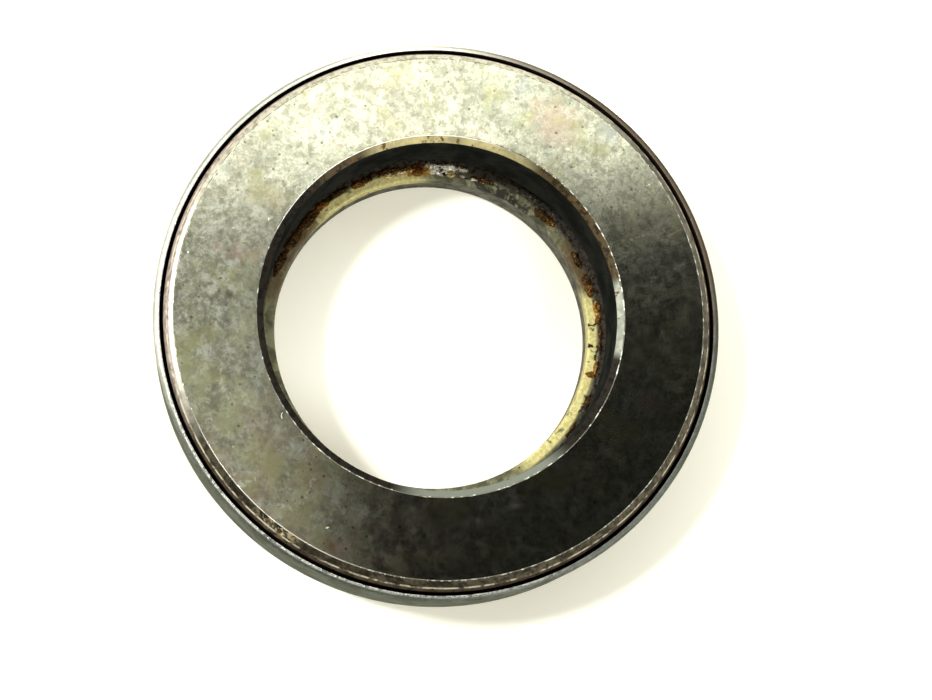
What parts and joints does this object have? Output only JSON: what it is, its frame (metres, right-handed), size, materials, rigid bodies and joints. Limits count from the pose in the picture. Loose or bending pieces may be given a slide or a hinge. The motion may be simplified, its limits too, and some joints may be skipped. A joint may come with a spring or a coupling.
{
  "type": "thrust ball bearing",
  "caption": "Flat thrust ball bearing: two grooved steel washers with caged balls between them, inside a thin pressed steel shell that is open round the turning top washer.",
  "frame": {"origin": "centre of the bottom washer's resting face", "axes": "+Z along the bearing's axis, from the resting face to the ground top face; +X through the first ball"},
  "size_m": [0.0732, 0.0732, 0.0162],
  "materials": {
    "ground_steel": "ground hardened steel, stained and worn, with bright worn edges",
    "race_steel": "hardened steel with old grease and rust stains",
    "shell_steel": "pressed sheet steel, dull grey",
    "cage_steel": "pressed sheet steel, browned by grease and rust",
    "ball_steel": "polished hardened steel"
  },
  "bodies": {
    "housing": {"bottom_washer": "race_steel", "outer_shell": "shell_steel"},
    "top_race": {"top_washer": "ground_steel"},
    "cage": {"ball_cage": "cage_steel"},
    "ball_01_body": {"ball_01": "ball_steel"},
    "ball_02_body": {"ball_02": "ball_steel"},
    "ball_03_body": {"ball_03": "ball_steel"},
    "ball_04_body": {"ball_04": "ball_steel"},
    "ball_05_body": {"ball_05": "ball_steel"},
    "ball_06_body": {"ball_06": "ball_steel"},
    "ball_07_body": {"ball_07": "ball_steel"},
    "ball_08_body": {"ball_08": "ball_steel"},
    "ball_09_body": {"ball_09": "ball_steel"},
    "ball_10_body": {"ball_10": "ball_steel"},
    "ball_11_body": {"ball_11": "ball_steel"},
    "ball_12_body": {"ball_12": "ball_steel"},
    "ball_13_body": {"ball_13": "ball_steel"},
    "ball_14_body": {"ball_14": "ball_steel"},
    "ball_15_body": {"ball_15": "ball_steel"},
    "ball_16_body": {"ball_16": "ball_steel"},
    "ball_17_body": {"ball_17": "ball_steel"},
    "ball_18_body": {"ball_18": "ball_steel"},
    "ball_19_body": {"ball_19": "ball_steel"},
    "ball_20_body": {"ball_20": "ball_steel"},
    "ball_21_body": {"ball_21": "ball_steel"},
    "ball_22_body": {"ball_22": "ball_steel"}
  },
  "joints": [
    {"name": "top_washer_spin", "type": "hinge", "parent": "housing", "child": "top_race", "pos_m": [0, 0, 0.0162], "axis": [0, 0, 1], "continuous": true},
    {"name": "cage_spin", "type": "hinge", "parent": "housing", "child": "cage", "pos_m": [0, 0, 0.00605], "axis": [0, 0, 1], "continuous": true},
    {"name": "ball_01_roll", "type": "hinge", "parent": "cage", "child": "ball_01_body", "pos_m": [0.0285, 0, 0.00605], "axis": [-1, 0, 0], "continuous": true},
    {"name": "ball_02_roll", "type": "hinge", "parent": "cage", "child": "ball_02_body", "pos_m": [0.02735, 0.00803, 0.00605], "axis": [-0.9595, -0.2817, 0], "continuous": true},
    {"name": "ball_03_roll", "type": "hinge", "parent": "cage", "child": "ball_03_body", "pos_m": [0.02398, 0.01541, 0.00605], "axis": [-0.8413, -0.5406, 0], "continuous": true},
    {"name": "ball_04_roll", "type": "hinge", "parent": "cage", "child": "ball_04_body", "pos_m": [0.01866, 0.02154, 0.00605], "axis": [-0.6549, -0.7557, 0], "continuous": true},
    {"name": "ball_05_roll", "type": "hinge", "parent": "cage", "child": "ball_05_body", "pos_m": [0.01184, 0.02592, 0.00605], "axis": [-0.4154, -0.9096, 0], "continuous": true},
    {"name": "ball_06_roll", "type": "hinge", "parent": "cage", "child": "ball_06_body", "pos_m": [0.00406, 0.02821, 0.00605], "axis": [-0.1423, -0.9898, 0], "continuous": true},
    {"name": "ball_07_roll", "type": "hinge", "parent": "cage", "child": "ball_07_body", "pos_m": [-0.00406, 0.02821, 0.00605], "axis": [0.1423, -0.9898, 0], "continuous": true},
    {"name": "ball_08_roll", "type": "hinge", "parent": "cage", "child": "ball_08_body", "pos_m": [-0.01184, 0.02592, 0.00605], "axis": [0.4154, -0.9096, 0], "continuous": true},
    {"name": "ball_09_roll", "type": "hinge", "parent": "cage", "child": "ball_09_body", "pos_m": [-0.01866, 0.02154, 0.00605], "axis": [0.6549, -0.7557, 0], "continuous": true},
    {"name": "ball_10_roll", "type": "hinge", "parent": "cage", "child": "ball_10_body", "pos_m": [-0.02398, 0.01541, 0.00605], "axis": [0.8413, -0.5406, 0], "continuous": true},
    {"name": "ball_11_roll", "type": "hinge", "parent": "cage", "child": "ball_11_body", "pos_m": [-0.02735, 0.00803, 0.00605], "axis": [0.9595, -0.2817, 0], "continuous": true},
    {"name": "ball_12_roll", "type": "hinge", "parent": "cage", "child": "ball_12_body", "pos_m": [-0.0285, 0, 0.00605], "axis": [1, 0, 0], "continuous": true},
    {"name": "ball_13_roll", "type": "hinge", "parent": "cage", "child": "ball_13_body", "pos_m": [-0.02735, -0.00803, 0.00605], "axis": [0.9595, 0.2817, 0], "continuous": true},
    {"name": "ball_14_roll", "type": "hinge", "parent": "cage", "child": "ball_14_body", "pos_m": [-0.02398, -0.01541, 0.00605], "axis": [0.8413, 0.5406, 0], "continuous": true},
    {"name": "ball_15_roll", "type": "hinge", "parent": "cage", "child": "ball_15_body", "pos_m": [-0.01866, -0.02154, 0.00605], "axis": [0.6549, 0.7557, 0], "continuous": true},
    {"name": "ball_16_roll", "type": "hinge", "parent": "cage", "child": "ball_16_body", "pos_m": [-0.01184, -0.02592, 0.00605], "axis": [0.4154, 0.9096, 0], "continuous": true},
    {"name": "ball_17_roll", "type": "hinge", "parent": "cage", "child": "ball_17_body", "pos_m": [-0.00406, -0.02821, 0.00605], "axis": [0.1423, 0.9898, 0], "continuous": true},
    {"name": "ball_18_roll", "type": "hinge", "parent": "cage", "child": "ball_18_body", "pos_m": [0.00406, -0.02821, 0.00605], "axis": [-0.1423, 0.9898, 0], "continuous": true},
    {"name": "ball_19_roll", "type": "hinge", "parent": "cage", "child": "ball_19_body", "pos_m": [0.01184, -0.02592, 0.00605], "axis": [-0.4154, 0.9096, 0], "continuous": true},
    {"name": "ball_20_roll", "type": "hinge", "parent": "cage", "child": "ball_20_body", "pos_m": [0.01866, -0.02154, 0.00605], "axis": [-0.6549, 0.7557, 0], "continuous": true},
    {"name": "ball_21_roll", "type": "hinge", "parent": "cage", "child": "ball_21_body", "pos_m": [0.02398, -0.01541, 0.00605], "axis": [-0.8413, 0.5406, 0], "continuous": true},
    {"name": "ball_22_roll", "type": "hinge", "parent": "cage", "child": "ball_22_body", "pos_m": [0.02735, -0.00803, 0.00605], "axis": [-0.9595, 0.2817, 0], "continuous": true}
  ],
  "couplings": [
    {"joint": "cage_spin", "follows": "top_washer_spin", "ratio": 0.5},
    {"joint": "ball_01_roll", "follows": "top_washer_spin", "ratio": 4.4882},
    {"joint": "ball_02_roll", "follows": "top_washer_spin", "ratio": 4.4882},
    {"joint": "ball_03_roll", "follows": "top_washer_spin", "ratio": 4.4882},
    {"joint": "ball_04_roll", "follows": "top_washer_spin", "ratio": 4.4882},
    {"joint": "ball_05_roll", "follows": "top_washer_spin", "ratio": 4.4882},
    {"joint": "ball_06_roll", "follows": "top_washer_spin", "ratio": 4.4882},
    {"joint": "ball_07_roll", "follows": "top_washer_spin", "ratio": 4.4882},
    {"joint": "ball_08_roll", "follows": "top_washer_spin", "ratio": 4.4882},
    {"joint": "ball_09_roll", "follows": "top_washer_spin", "ratio": 4.4882},
    {"joint": "ball_10_roll", "follows": "top_washer_spin", "ratio": 4.4882},
    {"joint": "ball_11_roll", "follows": "top_washer_spin", "ratio": 4.4882},
    {"joint": "ball_12_roll", "follows": "top_washer_spin", "ratio": 4.4882},
    {"joint": "ball_13_roll", "follows": "top_washer_spin", "ratio": 4.4882},
    {"joint": "ball_14_roll", "follows": "top_washer_spin", "ratio": 4.4882},
    {"joint": "ball_15_roll", "follows": "top_washer_spin", "ratio": 4.4882},
    {"joint": "ball_16_roll", "follows": "top_washer_spin", "ratio": 4.4882},
    {"joint": "ball_17_roll", "follows": "top_washer_spin", "ratio": 4.4882},
    {"joint": "ball_18_roll", "follows": "top_washer_spin", "ratio": 4.4882},
    {"joint": "ball_19_roll", "follows": "top_washer_spin", "ratio": 4.4882},
    {"joint": "ball_20_roll", "follows": "top_washer_spin", "ratio": 4.4882},
    {"joint": "ball_21_roll", "follows": "top_washer_spin", "ratio": 4.4882},
    {"joint": "ball_22_roll", "follows": "top_washer_spin", "ratio": 4.4882}
  ]
}
